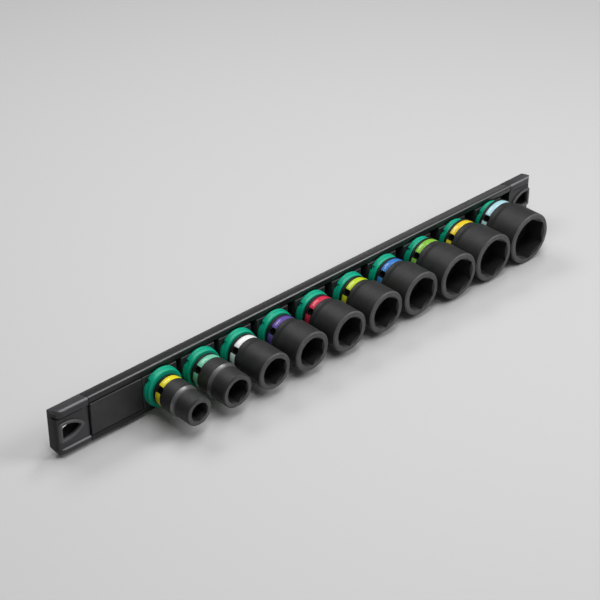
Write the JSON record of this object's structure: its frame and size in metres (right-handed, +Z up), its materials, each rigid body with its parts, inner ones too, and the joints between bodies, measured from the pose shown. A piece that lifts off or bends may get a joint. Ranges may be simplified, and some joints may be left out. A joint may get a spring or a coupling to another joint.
{
  "type": "socket rail",
  "caption": "Magnetic wall rail with end caps whose twist-lock clips each hold a black impact socket, small to large, with a coloured size ring.",
  "frame": {"origin": "middle of the rail's length and height, on the back face that lies on the wall", "axes": "+X along the rail towards the large sockets, +Y into the wall, +Z up; the sockets point to -Y"},
  "size_m": [0.3716, 0.0445, 0.0332],
  "materials": {
    "rail": "black anodised, satin",
    "end_cap": "fine grain, matt",
    "name_plate": "satin",
    "magnet": "nickel plated",
    "clip": "satin",
    "twist_post": "satin",
    "lock_ball": "polished",
    "socket": "black phosphate, satin",
    "ring_yellow": "satin",
    "ring_mint": "satin",
    "ring_white": "satin",
    "ring_violet": "satin",
    "ring_red": "satin",
    "ring_lime_yellow": "satin",
    "ring_blue": "satin",
    "ring_lime_green": "satin",
    "ring_amber_yellow": "satin",
    "ring_ice_blue": "satin"
  },
  "bodies": {
    "rail": {"rail": "rail", "end_cap_left": "end_cap", "end_cap_right": "end_cap", "name_plate": "name_plate", "magnet_1": "magnet", "magnet_2": "magnet", "magnet_3": "magnet", "magnet_4": "magnet"},
    "clip_01": {"clip_01": "clip"},
    "post_01": {"twist_post_01": "twist_post", "lock_ball_01": "lock_ball"},
    "socket_01": {"socket_01": "socket", "size_ring_01": "ring_yellow"},
    "clip_02": {"clip_02": "clip"},
    "post_02": {"twist_post_02": "twist_post", "lock_ball_02": "lock_ball"},
    "socket_02": {"socket_02": "socket", "size_ring_02": "ring_mint"},
    "clip_03": {"clip_03": "clip"},
    "post_03": {"twist_post_03": "twist_post", "lock_ball_03": "lock_ball"},
    "socket_03": {"socket_03": "socket", "size_ring_03": "ring_white"},
    "clip_04": {"clip_04": "clip"},
    "post_04": {"twist_post_04": "twist_post", "lock_ball_04": "lock_ball"},
    "socket_04": {"socket_04": "socket", "size_ring_04": "ring_violet"},
    "clip_05": {"clip_05": "clip"},
    "post_05": {"twist_post_05": "twist_post", "lock_ball_05": "lock_ball"},
    "socket_05": {"socket_05": "socket", "size_ring_05": "ring_red"},
    "clip_06": {"clip_06": "clip"},
    "post_06": {"twist_post_06": "twist_post", "lock_ball_06": "lock_ball"},
    "socket_06": {"socket_06": "socket", "size_ring_06": "ring_lime_yellow"},
    "clip_07": {"clip_07": "clip"},
    "post_07": {"twist_post_07": "twist_post", "lock_ball_07": "lock_ball"},
    "socket_07": {"socket_07": "socket", "size_ring_07": "ring_blue"},
    "clip_08": {"clip_08": "clip"},
    "post_08": {"twist_post_08": "twist_post", "lock_ball_08": "lock_ball"},
    "socket_08": {"socket_08": "socket", "size_ring_08": "ring_lime_green"},
    "clip_09": {"clip_09": "clip"},
    "post_09": {"twist_post_09": "twist_post", "lock_ball_09": "lock_ball"},
    "socket_09": {"socket_09": "socket", "size_ring_09": "ring_amber_yellow"},
    "clip_10": {"clip_10": "clip"},
    "post_10": {"twist_post_10": "twist_post", "lock_ball_10": "lock_ball"},
    "socket_10": {"socket_10": "socket", "size_ring_10": "ring_ice_blue"}
  },
  "joints": [
    {"name": "clip_slide_01", "type": "slide", "parent": "rail", "child": "clip_01", "axis": [1, 0, 0], "range_m": [0, 0.0012]},
    {"name": "twist_01", "type": "hinge", "parent": "clip_01", "child": "post_01", "pos_m": [-0.11875, 0, 0], "axis": [0, -1, 0], "range_deg": [0, 45]},
    {"name": "pull_off_01", "type": "slide", "parent": "post_01", "child": "socket_01", "axis": [0, -1, 0], "range_m": [0, 0.011]},
    {"name": "clip_slide_02", "type": "slide", "parent": "rail", "child": "clip_02", "axis": [1, 0, 0], "range_m": [-0.0015, 0]},
    {"name": "twist_02", "type": "hinge", "parent": "clip_02", "child": "post_02", "pos_m": [-0.09195, 0, 0], "axis": [0, -1, 0], "range_deg": [0, 45]},
    {"name": "pull_off_02", "type": "slide", "parent": "post_02", "child": "socket_02", "axis": [0, -1, 0], "range_m": [0, 0.011]},
    {"name": "clip_slide_03", "type": "slide", "parent": "rail", "child": "clip_03", "axis": [1, 0, 0], "range_m": [-0.0027, 0]},
    {"name": "twist_03", "type": "hinge", "parent": "clip_03", "child": "post_03", "pos_m": [-0.06515, 0, 0], "axis": [0, -1, 0], "range_deg": [0, 45]},
    {"name": "pull_off_03", "type": "slide", "parent": "post_03", "child": "socket_03", "axis": [0, -1, 0], "range_m": [0, 0.011]},
    {"name": "clip_slide_04", "type": "slide", "parent": "rail", "child": "clip_04", "axis": [1, 0, 0], "range_m": [-0.0037, 0]},
    {"name": "twist_04", "type": "hinge", "parent": "clip_04", "child": "post_04", "pos_m": [-0.03725, 0, 0], "axis": [0, -1, 0], "range_deg": [0, 45]},
    {"name": "pull_off_04", "type": "slide", "parent": "post_04", "child": "socket_04", "axis": [0, -1, 0], "range_m": [0, 0.011]},
    {"name": "clip_slide_05", "type": "slide", "parent": "rail", "child": "clip_05", "axis": [1, 0, 0], "range_m": [-0.0036, 0]},
    {"name": "twist_05", "type": "hinge", "parent": "clip_05", "child": "post_05", "pos_m": [-0.00825, 0, 0], "axis": [0, -1, 0], "range_deg": [0, 45]},
    {"name": "pull_off_05", "type": "slide", "parent": "post_05", "child": "socket_05", "axis": [0, -1, 0], "range_m": [0, 0.011]},
    {"name": "clip_slide_06", "type": "slide", "parent": "rail", "child": "clip_06", "axis": [1, 0, 0], "range_m": [-0.0027, 0]},
    {"name": "twist_06", "type": "hinge", "parent": "clip_06", "child": "post_06", "pos_m": [0.02085, 0, 0], "axis": [0, -1, 0], "range_deg": [0, 45]},
    {"name": "pull_off_06", "type": "slide", "parent": "post_06", "child": "socket_06", "axis": [0, -1, 0], "range_m": [0, 0.011]},
    {"name": "clip_slide_07", "type": "slide", "parent": "rail", "child": "clip_07", "axis": [1, 0, 0], "range_m": [-0.0017, 0]},
    {"name": "twist_07", "type": "hinge", "parent": "clip_07", "child": "post_07", "pos_m": [0.05005, 0, 0], "axis": [0, -1, 0], "range_deg": [0, 45]},
    {"name": "pull_off_07", "type": "slide", "parent": "post_07", "child": "socket_07", "axis": [0, -1, 0], "range_m": [0, 0.011]},
    {"name": "clip_slide_08", "type": "slide", "parent": "rail", "child": "clip_08", "axis": [1, 0, 0], "range_m": [-0.0009, 0]},
    {"name": "twist_08", "type": "hinge", "parent": "clip_08", "child": "post_08", "pos_m": [0.07995, 0, 0], "axis": [0, -1, 0], "range_deg": [0, 45]},
    {"name": "pull_off_08", "type": "slide", "parent": "post_08", "child": "socket_08", "axis": [0, -1, 0], "range_m": [0, 0.011]},
    {"name": "clip_slide_09", "type": "slide", "parent": "rail", "child": "clip_09", "axis": [1, 0, 0], "range_m": [-0.0003, 0.0006]},
    {"name": "twist_09", "type": "hinge", "parent": "clip_09", "child": "post_09", "pos_m": [0.11085, 0, 0], "axis": [0, -1, 0], "range_deg": [0, 45]},
    {"name": "pull_off_09", "type": "slide", "parent": "post_09", "child": "socket_09", "axis": [0, -1, 0], "range_m": [0, 0.011]},
    {"name": "clip_slide_10", "type": "slide", "parent": "rail", "child": "clip_10", "axis": [1, 0, 0], "range_m": [0, 0.0097]},
    {"name": "twist_10", "type": "hinge", "parent": "clip_10", "child": "post_10", "pos_m": [0.14375, 0, 0], "axis": [0, -1, 0], "range_deg": [0, 45]},
    {"name": "pull_off_10", "type": "slide", "parent": "post_10", "child": "socket_10", "axis": [0, -1, 0], "range_m": [0, 0.011]}
  ]
}
